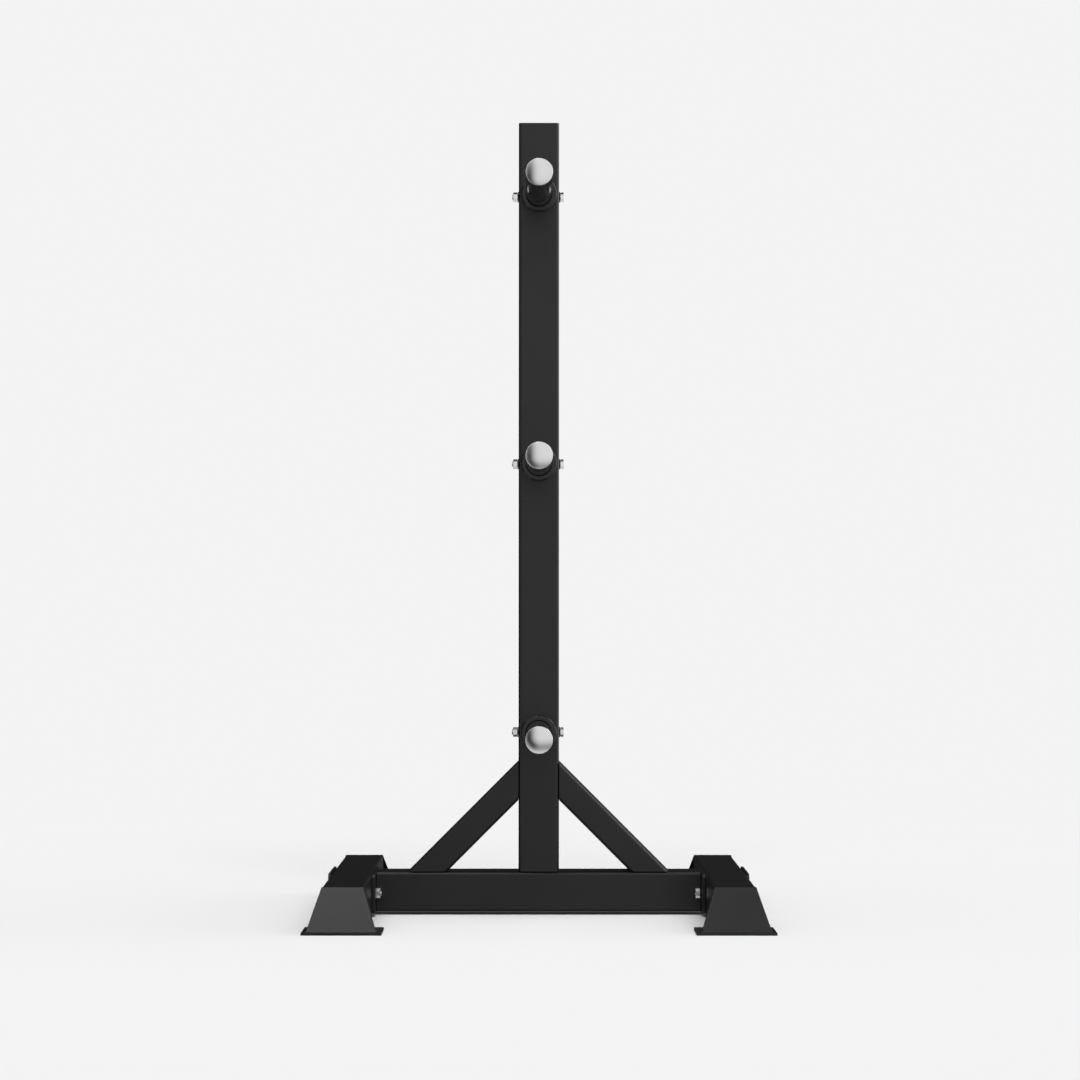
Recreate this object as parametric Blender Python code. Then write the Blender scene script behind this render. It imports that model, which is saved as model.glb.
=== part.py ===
# Weight plate tree: a square column on a cross tube and two long feet,
# with three levels of plate pegs that pass through the column from front to back.
# Metres, +Z up. The front is -Y, left is -X, and the origin is on the floor under the column.

import math

import bmesh
import bpy
from mathutils import Matrix, Vector

# Clearances
seat_gap = 0.0003            # between two faces that rest on each other
bore_gap = 0.0005            # round a bolt or a peg in its hole

# Square tube
tube_wall = 0.003
tube_corner = 0.006          # outer corner radius of every tube
column_size = 0.0762
cross_tube_size = 0.0762
cross_tube_length = 0.6096
foot_tube_size = 0.0762

# Column and its cap
column_above_pegs = 0.136    # from the upper peg's axis to the top of the column
top_cap_thickness = 0.003

# Diagonal braces, at 45 degrees
brace_width = 0.0508         # across the brace, seen from the front
brace_leg = 0.2063           # along the column and along the cross tube, to the brace's outer side

# Pegs
peg_level_names = ("lower", "middle", "upper")
peg_above_brace = 0.0547     # from the top of the braces to the lower peg's axis
peg_spacing = 0.508
peg_diameter = 0.0483
peg_wall = 0.003
peg_reach = 0.3025           # from the column's face to the end of the tube

# Stop collars on the pegs, against the column
collar_diameter = 0.068
collar_length = 0.020
collar_edge = 0.003          # rounded outer edge

# Domed end caps
cap_lip = 0.00045            # the rim stands out this far past the peg
cap_rim = 0.0015
cap_dome = 0.0035
cap_plug_length = 0.012
cap_plug_wall = 0.002

# Cross bolts that hold the pegs in the column
cross_bolt_diameter = 0.010
cross_bolt_flats = 0.016
cross_bolt_head = 0.0066
cross_nut_height = 0.0084
washer_diameter = 0.020
washer_thickness = 0.0018

# Feet
foot_length = 0.787          # overall, at the floor
end_plate_lean = 30          # degrees from upright
end_plate_thickness = 0.005
end_plate_inset = 0.001      # how far each upper corner lies in from the tube's side
end_plate_flare = 0.0245     # how far each lower corner stands out past the tube's side
floor_plate_margin = 0.0085  # beside the end plate's lower edge
floor_plate_depth = 0.100
floor_plate_thickness = 0.0048

# Bolted joints between the cross tube and the feet
inner_flange_thickness = 0.006
outer_plate_thickness = 0.005
flange_corner = 0.008
flange_edge = 0.028          # from a bolt's axis to the end of the plate
foot_bolt_from_tube = 0.0205  # from the cross tube's face to a bolt's axis
foot_bolt_diameter = 0.010
foot_bolt_flats = 0.016
foot_bolt_head = 0.0066
foot_nut_height = 0.0084
foot_washer_diameter = 0.020
foot_washer_thickness = 0.0025  # under the right foot's nuts
thread_end = 0.002           # how far a bolt's end stands out of a nut that has no washer of its own

# Mesh fineness
corner_steps = 4
peg_steps = 32
bolt_steps = 18
edge_steps = 3
dome_steps = 4
least_corner = 0.0005

# Heights
tube_bottom = floor_plate_thickness + seat_gap
cross_tube_top = tube_bottom + cross_tube_size
foot_tube_top = tube_bottom + foot_tube_size
foot_axis_height = tube_bottom + foot_tube_size / 2
brace_top = cross_tube_top + brace_leg
peg_heights = {name: brace_top + peg_above_brace + i * peg_spacing for i, name in enumerate(peg_level_names)}
column_top = max(peg_heights.values()) + column_above_pegs

# Places across the tree, on the right-hand side
flange_x = cross_tube_length / 2 + seat_gap
foot_x = flange_x + inner_flange_thickness + seat_gap + foot_tube_size / 2
outer_plate_x = foot_x + foot_tube_size / 2 + seat_gap
outer_face_x = outer_plate_x + outer_plate_thickness

# Places from front to back
peg_end = column_size / 2 + peg_reach
foot_bolt_y = cross_tube_size / 2 + foot_bolt_from_tube
flange_length = 2 * (foot_bolt_y + flange_edge)
lean = math.radians(end_plate_lean)

sides = {"left": -1, "right": 1}
ends = {"front": -1, "rear": 1}


def clear_scene():
    for obj in list(bpy.data.objects):
        bpy.data.objects.remove(obj, do_unlink=True)


def make_material(name, colour, roughness, metallic):
    material = bpy.data.materials.new(name)
    material.use_nodes = True
    shader = material.node_tree.nodes["Principled BSDF"]
    shader.inputs["Base Color"].default_value = (*colour, 1.0)
    shader.inputs["Roughness"].default_value = roughness
    shader.inputs["Metallic"].default_value = metallic
    material.diffuse_color = (*colour, 1.0)
    return material


def make_object(name, mesh, parent, location=(0, 0, 0), rotation=(0, 0, 0)):
    obj = bpy.data.objects.new(name, mesh)
    obj.parent = parent
    obj.location = location
    obj.rotation_euler = rotation
    bpy.context.scene.collection.objects.link(obj)
    return obj


def make_empty(name, parent=None, location=(0, 0, 0)):
    return make_object(name, None, parent, location)


def mesh_from(bm, name, material):
    """The closed mesh of this bmesh, smooth on its round faces and sharp at its edges."""
    bmesh.ops.recalc_face_normals(bm, faces=bm.faces)
    mesh = bpy.data.meshes.new(name)
    bm.to_mesh(mesh)
    bm.free()
    mesh.materials.append(material)
    mesh.shade_smooth()
    mesh.set_sharp_from_angle(angle=math.radians(35))
    return mesh


# Outlines and plates

def rounded_outline(width, depth, corner):
    """Points round a rectangle with rounded corners, centred on the origin."""
    points = []
    for quarter, (side_x, side_y) in enumerate(((1, 1), (-1, 1), (-1, -1), (1, -1))):
        for step in range(corner_steps + 1):
            angle = math.pi / 2 * (quarter + step / corner_steps)
            points.append((
                side_x * (width / 2 - corner) + corner * math.cos(angle),
                side_y * (depth / 2 - corner) + corner * math.sin(angle),
            ))
    return points


def add_loop(bm, points):
    verts = [bm.verts.new((x, y, 0)) for x, y in points]
    return verts, [bm.edges.new((verts[i - 1], verts[i])) for i in range(len(verts))]


def extrude_up(bm, height):
    """Extrudes everything upward and returns the new top's points."""
    made = bmesh.ops.extrude_face_region(bm, geom=bm.faces[:])
    top = [item for item in made["geom"] if isinstance(item, bmesh.types.BMVert)]
    bmesh.ops.translate(bm, verts=top, vec=(0, 0, height))
    return top


def plate_mesh(name, points, thickness, material):
    """A flat plate with this outline, from z = 0 upward."""
    bm = bmesh.new()
    verts, _ = add_loop(bm, points)
    bm.faces.new(verts)
    extrude_up(bm, thickness)
    return mesh_from(bm, name, material)


def slide_to_plane(verts, axis, point, normal):
    for vert in verts:
        vert.co += axis * ((point - vert.co).dot(normal) / axis.dot(normal))


def tube_mesh(name, width, depth, turn, start, end, material):
    """An open-ended rounded tube. Its section lies in the turned XY plane, its axis is the turned Z, and each end
    is cut on a plane given as a point and a normal."""
    bm = bmesh.new()
    inner_corner = max(tube_corner - tube_wall, least_corner)
    _, outer = add_loop(bm, rounded_outline(width, depth, tube_corner))
    _, inner = add_loop(bm, rounded_outline(width - 2 * tube_wall, depth - 2 * tube_wall, inner_corner))
    bmesh.ops.bridge_loops(bm, edges=outer + inner)
    near = list(bm.verts)
    far = extrude_up(bm, column_size)
    bmesh.ops.transform(bm, matrix=turn.to_4x4(), verts=bm.verts)
    axis = turn.col[2].copy()
    slide_to_plane(near, axis, *start)
    slide_to_plane(far, axis, *end)
    return mesh_from(bm, name, material)


# Turned pieces

def spun_mesh(name, profile, steps, material, flats=None):
    """Turns a closed profile of (radius, height) points round Z. Points at the radius of a hexagon's flats
    are moved out to the hexagon."""
    bm = bmesh.new()
    verts = [bm.verts.new((radius, 0, height)) for radius, height in profile]
    edges = [bm.edges.new((verts[i - 1], verts[i])) for i in range(len(verts))]
    on_axis = [e for e in edges if all(v.co.x == 0 for v in e.verts)]
    bmesh.ops.delete(bm, geom=on_axis, context="EDGES_FACES")
    bmesh.ops.spin(
        bm,
        geom=bm.verts[:] + bm.edges[:],
        cent=(0, 0, 0),
        axis=(0, 0, 1),
        angle=2 * math.pi,
        steps=steps,
        use_merge=True,
    )
    bmesh.ops.remove_doubles(bm, verts=bm.verts, dist=1e-6)
    if flats is not None:
        for vert in bm.verts:
            radius = math.hypot(vert.co.x, vert.co.y)
            if abs(radius - flats / 2) < 1e-6:
                angle = math.degrees(math.atan2(vert.co.y, vert.co.x)) % 60
                vert.co.xy *= 1 / math.cos(math.radians(angle - 30))
    return mesh_from(bm, name, material)


def arc(centre_radius, centre_height, radius, first, last, steps):
    """Profile points on an arc, with its angles in degrees from the radial direction."""
    points = []
    for step in range(steps + 1):
        angle = math.radians(first + (last - first) * step / steps)
        points.append((centre_radius + radius * math.cos(angle), centre_height + radius * math.sin(angle)))
    return points


def hex_bolt_mesh(name, diameter, flats, head, length, material):
    """A hex bolt. Its head stands on z = 0 and its shank runs down from there."""
    chamfer = diameter / 10
    profile = [
        (0, head),
        (flats / 2 - chamfer / 2, head),
        (flats / 2, head - chamfer / 2),
        (flats / 2, 0),
        (diameter / 2, 0),
        (diameter / 2, chamfer - length),
        (diameter / 2 - chamfer, -length),
        (0, -length),
    ]
    return spun_mesh(name, profile, bolt_steps, material, flats)


def hex_nut_mesh(name, diameter, flats, height, material):
    """A hex nut that stands on z = 0, with a clear bore for its bolt."""
    chamfer = diameter / 20
    bore = diameter / 2 + bore_gap
    profile = [
        (bore, 0),
        (bore, height),
        (flats / 2 - chamfer, height),
        (flats / 2, height - chamfer),
        (flats / 2, 0),
    ]
    return spun_mesh(name, profile, bolt_steps, material, flats)


def ring_mesh(name, bore_radius, outer_radius, height, edge, steps, material):
    """A ring that stands on z = 0, with its upper outer edge rounded."""
    profile = [(bore_radius, 0), (bore_radius, height)]
    profile += reversed(arc(outer_radius - edge, height - edge, edge, 0, 90, edge_steps))
    profile += [(outer_radius, 0)]
    return spun_mesh(name, profile, steps, material)


def end_cap_mesh(name, material):
    """A domed cap with a hollow plug. Its rim rests on the peg's end at z = 0 and the dome is above."""
    rim_radius = peg_diameter / 2 + cap_lip
    plug_radius = peg_diameter / 2 - peg_wall - bore_gap
    dome_radius = (rim_radius**2 + cap_dome**2) / (2 * cap_dome)
    widest = math.degrees(math.asin(rim_radius / dome_radius))
    dome = arc(0, cap_rim + cap_dome - dome_radius, dome_radius, 90 - widest, 90, dome_steps)
    profile = [
        (0, 0),
        (plug_radius - cap_plug_wall, 0),
        (plug_radius - cap_plug_wall, -cap_plug_length),
        (plug_radius, -cap_plug_length),
        (plug_radius, 0),
        (rim_radius, 0),
        *dome[:-1],
        (0, cap_rim + cap_dome),
    ]
    return spun_mesh(name, profile, peg_steps, material)


# Holes

def rod_cutter(name, axis, centres, radius, length, steps):
    """Rods along X or Y, one at each centre, that cut holes and aren't part of the tree."""
    bm = bmesh.new()
    turn = Matrix.Rotation(math.pi / 2, 4, "Y" if axis == "X" else "X")
    for centre in centres:
        bmesh.ops.create_cone(
            bm,
            cap_ends=True,
            segments=steps,
            radius1=radius,
            radius2=radius,
            depth=length,
            matrix=Matrix.Translation(centre) @ turn,
        )
    mesh = bpy.data.meshes.new(name)
    bm.to_mesh(mesh)
    bm.free()
    cutter = make_object(name, mesh, None)
    cutter.hide_render = True
    cutter.display_type = "WIRE"
    return cutter


def cut(obj, cutter):
    modifier = obj.modifiers.new(cutter.name, "BOOLEAN")
    modifier.operation = "DIFFERENCE"
    modifier.solver = "EXACT"
    modifier.object = cutter


# Assemblies

along_x = Matrix(((0, 0, 1), (1, 0, 0), (0, 1, 0)))    # a section in YZ, with its axis along X
along_y = Matrix(((0, 1, 0), (0, 0, 1), (1, 0, 0)))    # a section in ZX, with its axis along Y
along_z = Matrix.Identity(3)


def build_column(tree, black):
    up = Vector((0, 0, 1))
    start = (Vector((0, 0, cross_tube_top + seat_gap)), up)
    end = (Vector((0, 0, column_top)), up)
    mesh = tube_mesh("column", column_size, column_size, along_z, start, end, black)
    column = make_object("column", mesh, tree)

    cap_width = column_size - 2 * (tube_wall + seat_gap)
    cap_corner = max(tube_corner - tube_wall - seat_gap, least_corner)
    cap = plate_mesh("column_top_cap", rounded_outline(cap_width, cap_width, cap_corner), top_cap_thickness, black)
    make_object("column_top_cap", cap, tree, (0, 0, column_top - top_cap_thickness))
    return column


def build_cross_tube(tree, black):
    across = Vector((1, 0, 0))
    half = across * cross_tube_length / 2
    mesh = tube_mesh("cross_tube", cross_tube_size, cross_tube_size, along_x, (-half, across), (half, across), black)
    make_object("cross_tube", mesh, tree, (0, 0, tube_bottom + cross_tube_size / 2))


def build_brace(tree, side_name, side, black):
    """A brace from the column's side to the top of the cross tube, mitred onto both."""
    outward = Vector((side, 0, 1)).normalized()
    down = Vector((side, 0, -1)).normalized()
    through = down.cross(outward)
    turn = Matrix((outward, through, down)).transposed()
    outer_corner = Vector((side * column_size / 2, 0, brace_top))
    origin = outer_corner - outward * brace_width / 2
    column_plane = (Vector((side * (column_size / 2 + seat_gap), 0, 0)) - origin, Vector((side, 0, 0)))
    tube_plane = (Vector((0, 0, cross_tube_top + seat_gap)) - origin, Vector((0, 0, 1)))
    name = f"brace_{side_name}"
    mesh = tube_mesh(name, brace_width, column_size, turn, column_plane, tube_plane, black)
    make_object(name, mesh, tree, origin)


def build_foot(tree, side_name, side, black):
    """A foot along Y with its leaning end plates, its floor plates and its two bolted flange plates."""
    foot = make_empty(f"foot_{side_name}", tree, (side * foot_x, 0, 0))
    plate_run = end_plate_thickness / math.cos(lean)
    gap_run = seat_gap / math.cos(lean)

    def end_plane(end):
        """The plane on which the tube is cut, behind the end plate."""
        floor_point = Vector((0, end * (foot_length / 2 - plate_run - gap_run), tube_bottom - foot_axis_height))
        return floor_point, Vector((0, end * math.cos(lean), math.sin(lean)))

    mesh = tube_mesh("foot_tube", foot_tube_size, foot_tube_size, along_y, end_plane(-1), end_plane(1), black)
    tube = make_object(f"foot_tube_{side_name}", mesh, foot, (0, 0, foot_axis_height))

    top_half = foot_tube_size / 2 - end_plate_inset
    bottom_half = foot_tube_size / 2 + end_plate_flare
    end_outline = ((-bottom_half, 0), (bottom_half, 0), (top_half, foot_tube_size), (-top_half, foot_tube_size))
    floor_half = bottom_half + floor_plate_margin
    floor_outline = ((-floor_half, 0), (floor_half, 0), (floor_half, floor_plate_depth), (-floor_half, floor_plate_depth))
    leaned = Matrix(((1, 0, 0), (0, math.tan(lean), plate_run / end_plate_thickness), (0, 1, 0))).to_4x4()
    for end_name, end in ends.items():
        turned = (0, 0, 0 if end < 0 else math.pi)
        edge = (0, end * foot_length / 2)
        end_plate = plate_mesh("end_plate", end_outline, end_plate_thickness, black)
        end_plate.transform(leaned)
        end_plate.flip_normals()
        make_object(f"end_plate_{side_name}_{end_name}", end_plate, foot, (*edge, tube_bottom), turned)
        floor_plate = plate_mesh("floor_plate", floor_outline, floor_plate_thickness, black)
        make_object(f"floor_plate_{side_name}_{end_name}", floor_plate, foot, (*edge, 0), turned)

    outline = rounded_outline(flange_length, foot_tube_size, flange_corner)
    upright = (math.pi / 2, 0, math.pi / 2)
    flanges = []
    for name, near_face, thickness in (
        (f"inner_flange_{side_name}", flange_x, inner_flange_thickness),
        (f"outer_plate_{side_name}", outer_plate_x, outer_plate_thickness),
    ):
        x = near_face if side > 0 else -near_face - thickness
        mesh = plate_mesh("flange", outline, thickness, black)
        flanges.append(make_object(name, mesh, tree, (x, 0, foot_axis_height), upright))

    bolts = [(side * foot_x, end * foot_bolt_y, foot_axis_height) for end in ends.values()]
    reach = 2 * (outer_face_x - flange_x)
    holes = rod_cutter(f"foot_holes_{side_name}", "X", bolts, foot_bolt_diameter / 2 + bore_gap, reach, bolt_steps)
    for obj in (tube, *flanges):
        cut(obj, holes)


def build_foot_bolts(tree, side_name, side, zinc, dark):
    """Two bolts through both flange plates and the foot, with their heads on the outside and their nuts on the
    inside. On the right foot a washer lies under each nut, and the same bolt ends inside the nut."""
    head_seat = outer_face_x + seat_gap
    plate_seat = flange_x - seat_gap
    nut_seat = plate_seat - (foot_washer_thickness + seat_gap if side > 0 else 0)
    length = head_seat - plate_seat + foot_nut_height + thread_end
    bolt = hex_bolt_mesh("foot_bolt", foot_bolt_diameter, foot_bolt_flats, foot_bolt_head, length, zinc)
    nut = hex_nut_mesh("foot_nut", foot_bolt_diameter, foot_bolt_flats, foot_nut_height, zinc)
    bore = foot_bolt_diameter / 2 + bore_gap
    edge = foot_washer_thickness / 4
    outward = (0, side * math.pi / 2, 0)
    inward = (0, -side * math.pi / 2, 0)
    for end_name, end in ends.items():
        place = (end * foot_bolt_y, foot_axis_height)
        make_object(f"foot_bolt_{side_name}_{end_name}", bolt, tree, (side * head_seat, *place), outward)
        make_object(f"foot_nut_{side_name}_{end_name}", nut, tree, (side * nut_seat, *place), inward)
        if side > 0:
            washer = ring_mesh(
                "foot_washer", bore, foot_washer_diameter / 2, foot_washer_thickness, edge, bolt_steps, dark
            )
            make_object(f"foot_washer_{side_name}_{end_name}", washer, tree, (plate_seat, *place), inward)


def build_peg(tree, level, black, satin):
    """One tube through the column, with a stop collar and an end cap at the front and at the rear."""
    axis = make_empty(f"peg_{level}", tree, (0, 0, peg_heights[level]))
    outer = peg_diameter / 2
    inner = outer - peg_wall
    profile = [(inner, -peg_end), (outer, -peg_end), (outer, peg_end), (inner, peg_end)]
    mesh = spun_mesh("peg_tube", profile, peg_steps, black)
    tube = make_object(f"peg_tube_{level}", mesh, axis, rotation=(math.pi / 2, 0, 0))
    collar = ring_mesh(
        "peg_collar", outer + bore_gap, collar_diameter / 2, collar_length, collar_edge, peg_steps, black
    )
    cap = end_cap_mesh("peg_cap", satin)
    for end_name, end in ends.items():
        outward = (-end * math.pi / 2, 0, 0)
        collar_y = end * (column_size / 2 + seat_gap)
        cap_y = end * (peg_end + seat_gap)
        make_object(f"peg_collar_{level}_{end_name}", collar, axis, (0, collar_y, 0), outward)
        make_object(f"peg_cap_{level}_{end_name}", cap, axis, (0, cap_y, 0), outward)
    return tube


def build_cross_bolt(tree, level, zinc, dark):
    """A bolt through the column and the peg, with its head on the right and its nut on the left."""
    height = peg_heights[level]
    washer_x = column_size / 2 + seat_gap
    seat_x = washer_x + washer_thickness + seat_gap
    length = 2 * seat_x + cross_nut_height + thread_end
    bolt = hex_bolt_mesh("cross_bolt", cross_bolt_diameter, cross_bolt_flats, cross_bolt_head, length, zinc)
    nut = hex_nut_mesh("cross_nut", cross_bolt_diameter, cross_bolt_flats, cross_nut_height, zinc)
    profile_bore = cross_bolt_diameter / 2 + bore_gap
    washer = ring_mesh(
        "washer", profile_bore, washer_diameter / 2, washer_thickness, washer_thickness / 4, bolt_steps, dark
    )
    make_object(f"cross_bolt_{level}", bolt, tree, (seat_x, 0, height), (0, math.pi / 2, 0))
    make_object(f"cross_nut_{level}", nut, tree, (-seat_x, 0, height), (0, -math.pi / 2, 0))
    for side_name, side in sides.items():
        outward = (0, side * math.pi / 2, 0)
        make_object(f"cross_washer_{level}_{side_name}", washer, tree, (side * washer_x, 0, height), outward)


def build_tree():
    clear_scene()
    black = make_material("black_powder_coat", (0.022, 0.022, 0.023), 0.42, 0.0)
    peg_black = make_material("peg_powder_coat", (0.018, 0.018, 0.019), 0.35, 0.0)
    satin = make_material("satin_steel", (0.62, 0.62, 0.63), 0.30, 1.0)
    zinc = make_material("zinc_plate", (0.55, 0.56, 0.57), 0.35, 1.0)
    dark = make_material("black_oxide", (0.03, 0.03, 0.03), 0.45, 0.8)

    tree = make_empty("weight_plate_tree")
    column = build_column(tree, black)
    build_cross_tube(tree, black)
    for side_name, side in sides.items():
        build_brace(tree, side_name, side, black)
        build_foot(tree, side_name, side, black)
        build_foot_bolts(tree, side_name, side, zinc, dark)

    levels = [(0, 0, height) for height in peg_heights.values()]
    reach = 2 * column_size
    peg_holes = rod_cutter("peg_holes", "Y", levels, peg_diameter / 2 + bore_gap, reach, peg_steps)
    bolt_holes = rod_cutter("bolt_holes", "X", levels, cross_bolt_diameter / 2 + bore_gap, reach, bolt_steps)
    cut(column, peg_holes)
    cut(column, bolt_holes)
    for level in peg_level_names:
        cut(build_peg(tree, level, peg_black, satin), bolt_holes)
        build_cross_bolt(tree, level, zinc, dark)


build_tree()
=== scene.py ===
# Weight plate tree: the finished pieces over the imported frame, with a plain studio round them.
# Metres, +Z up. The front is -Y and left is -X.
import math

import bmesh
import bpy
from mathutils import Matrix, Vector


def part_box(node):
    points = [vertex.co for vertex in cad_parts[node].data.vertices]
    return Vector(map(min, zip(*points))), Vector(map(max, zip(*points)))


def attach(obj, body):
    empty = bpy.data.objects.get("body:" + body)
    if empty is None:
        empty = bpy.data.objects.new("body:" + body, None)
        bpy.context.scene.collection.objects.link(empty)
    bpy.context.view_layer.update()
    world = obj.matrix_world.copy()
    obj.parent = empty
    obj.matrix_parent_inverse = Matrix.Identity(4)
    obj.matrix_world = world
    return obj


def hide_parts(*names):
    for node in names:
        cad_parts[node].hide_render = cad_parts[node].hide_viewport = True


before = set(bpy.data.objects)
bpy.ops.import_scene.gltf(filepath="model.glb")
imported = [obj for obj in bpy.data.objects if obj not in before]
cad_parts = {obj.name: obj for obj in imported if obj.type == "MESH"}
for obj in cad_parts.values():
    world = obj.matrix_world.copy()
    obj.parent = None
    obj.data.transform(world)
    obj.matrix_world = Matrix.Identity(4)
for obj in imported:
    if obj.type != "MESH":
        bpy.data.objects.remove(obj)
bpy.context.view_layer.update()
print("frame loaded with", len(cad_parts), "solids")

left = -1
right = 1
front = -1
rear = 1
sideNames = {left: "left", right: "right"}
endNames = {front: "front", rear: "rear"}
levelNames = ("lower", "middle", "upper")


# Shaping

shaping = {
    "roundSteps": 8,          # faces round a rounded corner
    "edgeSteps": 3,           # faces round a broken edge
    "brokenAngle": 30,        # degrees, past which an edge is broken
    "sharpAngle": 40,         # degrees, past which an edge is drawn sharp
    "mergeDistance": 1e-6,
    "sawMargin": 0.1,         # spare length that the saw takes off a tube
    "drillLength": 1,         # longer than any piece is wide
}


def boxOf(node):
    low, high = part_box(node)
    return low, high, (low + high) / 2


def pieceName(node):
    first, *rest = node.split("_")
    return first + "".join(word.capitalize() for word in rest)


def onlyEdges(items):
    return [item for item in items if isinstance(item, bmesh.types.BMEdge)]


def onlyVerts(items):
    return [item for item in items if isinstance(item, bmesh.types.BMVert)]


def roundCorners(bm, verts, radius, steps):
    bmesh.ops.bevel(
        bm,
        geom=verts,
        offset=radius,
        affect="VERTICES",
        segments=steps,
        profile=0.5,
        material=-1,
    )


def breakEdges(bm, width):
    # rounds every edge whose faces turn by more than the angle at which one is broken
    least = math.radians(shaping["brokenAngle"])
    sharp = [edge for edge in bm.edges if edge.calc_face_angle(0) > least]
    bmesh.ops.bevel(
        bm,
        geom=sharp,
        offset=width,
        affect="EDGES",
        segments=shaping["edgeSteps"],
        profile=0.5,
        material=-1,
        clamp_overlap=True,
    )


def rectangle(width, depth, radius=0):
    bm = bmesh.new()
    bmesh.ops.create_grid(bm, x_segments=1, y_segments=1, size=0.5)
    bmesh.ops.scale(bm, vec=(width, depth, 1), verts=bm.verts)
    if radius:
        roundCorners(bm, bm.verts[:], radius, shaping["roundSteps"])
    return bm


def extrudeUp(bm, height):
    made = bmesh.ops.extrude_face_region(bm, geom=bm.faces[:])
    bmesh.ops.translate(bm, vec=(0, 0, height), verts=onlyVerts(made["geom"]))


def cutOff(bm, point, outward, tolerance):
    # takes away what lies past a plane and gives the edges of the cut
    made = bmesh.ops.bisect_plane(
        bm,
        geom=bm.verts[:] + bm.edges[:] + bm.faces[:],
        dist=tolerance,
        plane_co=point,
        plane_no=outward,
        clear_outer=True,
    )
    return onlyEdges(made["geom_cut"])


def saw(bm, point, outward):
    # cuts a hollow tube on a plane and closes the wall that the cut opens
    bmesh.ops.bridge_loops(bm, edges=cutOff(bm, point, outward, shaping["mergeDistance"]))


def lathe(bm, steps):
    # turns the profile in the XZ plane once round Z
    bmesh.ops.spin(
        bm,
        geom=bm.verts[:] + bm.edges[:],
        cent=(0, 0, 0),
        axis=(0, 0, 1),
        angle=2 * math.pi,
        steps=steps,
        use_merge=True,
    )
    bmesh.ops.remove_doubles(bm, verts=bm.verts, dist=shaping["mergeDistance"])


def turned(corners, steps):
    # corners are (radius, height, edge rounding) in order round the profile
    bm = bmesh.new()
    points = [bm.verts.new((radius, 0, height)) for radius, height, _ in corners]
    for i, point in enumerate(points):
        if points[i - 1].co.x or point.co.x:
            bm.edges.new((points[i - 1], point))
    for point, (_, _, rounding) in zip(points, corners):
        if rounding:
            roundCorners(bm, [point], rounding, shaping["edgeSteps"] + 1)
    lathe(bm, steps)
    return bm


def place(bm, across, along, origin):
    # turns the shape's X to face across and its Z to face along, then moves it to origin
    across, along = Vector(across), Vector(along)
    turn = Matrix((across, along.cross(across), along)).transposed().to_4x4()
    bmesh.ops.transform(bm, matrix=Matrix.Translation(origin) @ turn, verts=bm.verts)


def addMesh(bm, name, material=None):
    mesh = bpy.data.meshes.new(name)
    bm.to_mesh(mesh)
    bm.free()
    if material:
        mesh.materials.append(material)
    added = bpy.data.objects.new(mesh.name, mesh)
    bpy.context.scene.collection.objects.link(added)
    return added


def finishPiece(bm, node, material):
    bmesh.ops.remove_doubles(bm, verts=bm.verts, dist=shaping["mergeDistance"])
    bmesh.ops.recalc_face_normals(bm, faces=bm.faces)
    piece = addMesh(bm, pieceName(node), material)
    piece.data.shade_smooth()
    piece.data.set_sharp_from_angle(angle=math.radians(shaping["sharpAngle"]))
    weighted = piece.modifiers.new("evenShading", "WEIGHTED_NORMAL")    # keeps the wide faces flat
    weighted.keep_sharp = True
    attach(piece, "root")
    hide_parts(node)


# Finishes

noiseMiddle = (0.3, 0.7)      # nearly all of a noise lies between these


def newFinish(name):
    material = bpy.data.materials.new(name)
    material.use_nodes = True
    nodes = material.node_tree.nodes
    return material, nodes, material.node_tree.links, nodes["Principled BSDF"]


def grain(nodes, links, scale, detail=2, roughness=0.5):
    # a noise in Object coordinates, scale in features per metre
    coordinates = nodes.new("ShaderNodeTexCoord")
    noise = nodes.new("ShaderNodeTexNoise")
    noise.inputs["Scale"].default_value = scale
    noise.inputs["Detail"].default_value = detail
    noise.inputs["Roughness"].default_value = roughness
    links.new(coordinates.outputs["Object"], noise.inputs["Vector"])
    return noise.outputs["Fac"]


def spread(nodes, links, value, source, target):
    # stretches the range source onto the range target
    mapped = nodes.new("ShaderNodeMapRange")
    mapped.inputs["From Min"].default_value = source[0]
    mapped.inputs["From Max"].default_value = source[1]
    mapped.inputs["To Min"].default_value = target[0]
    mapped.inputs["To Max"].default_value = target[1]
    links.new(value, mapped.inputs["Value"])
    return mapped.outputs["Result"]


def twoTone(nodes, links, value, dark, light):
    ramp = nodes.new("ShaderNodeValToRGB")
    for stop, position, colour in zip(ramp.color_ramp.elements, noiseMiddle, (dark, light)):
        stop.position = position
        stop.color = (*colour, 1)
    links.new(value, ramp.inputs["Fac"])
    return ramp.outputs["Color"]


def raised(nodes, links, value, height, under=None):
    bump = nodes.new("ShaderNodeBump")
    bump.inputs["Distance"].default_value = height
    bump.inputs["Strength"].default_value = 1.0
    links.new(value, bump.inputs["Height"])
    if under is not None:
        links.new(under, bump.inputs["Normal"])
    return bump.outputs["Normal"]


powderCoat = {
    "dark": (0.0028, 0.0028, 0.0030),
    "light": (0.0042, 0.0042, 0.0044),
    "cloud": 14,              # broad, faint unevenness of the coat
    "peel": 420,              # orange peel, about 2 mm across
    "peelHeight": 0.00003,
    "powder": 1500,           # single grains of powder
    "powderHeight": 0.000008,
    "roughness": (0.28, 0.34),
    "specular": 0.438,
}


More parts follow.
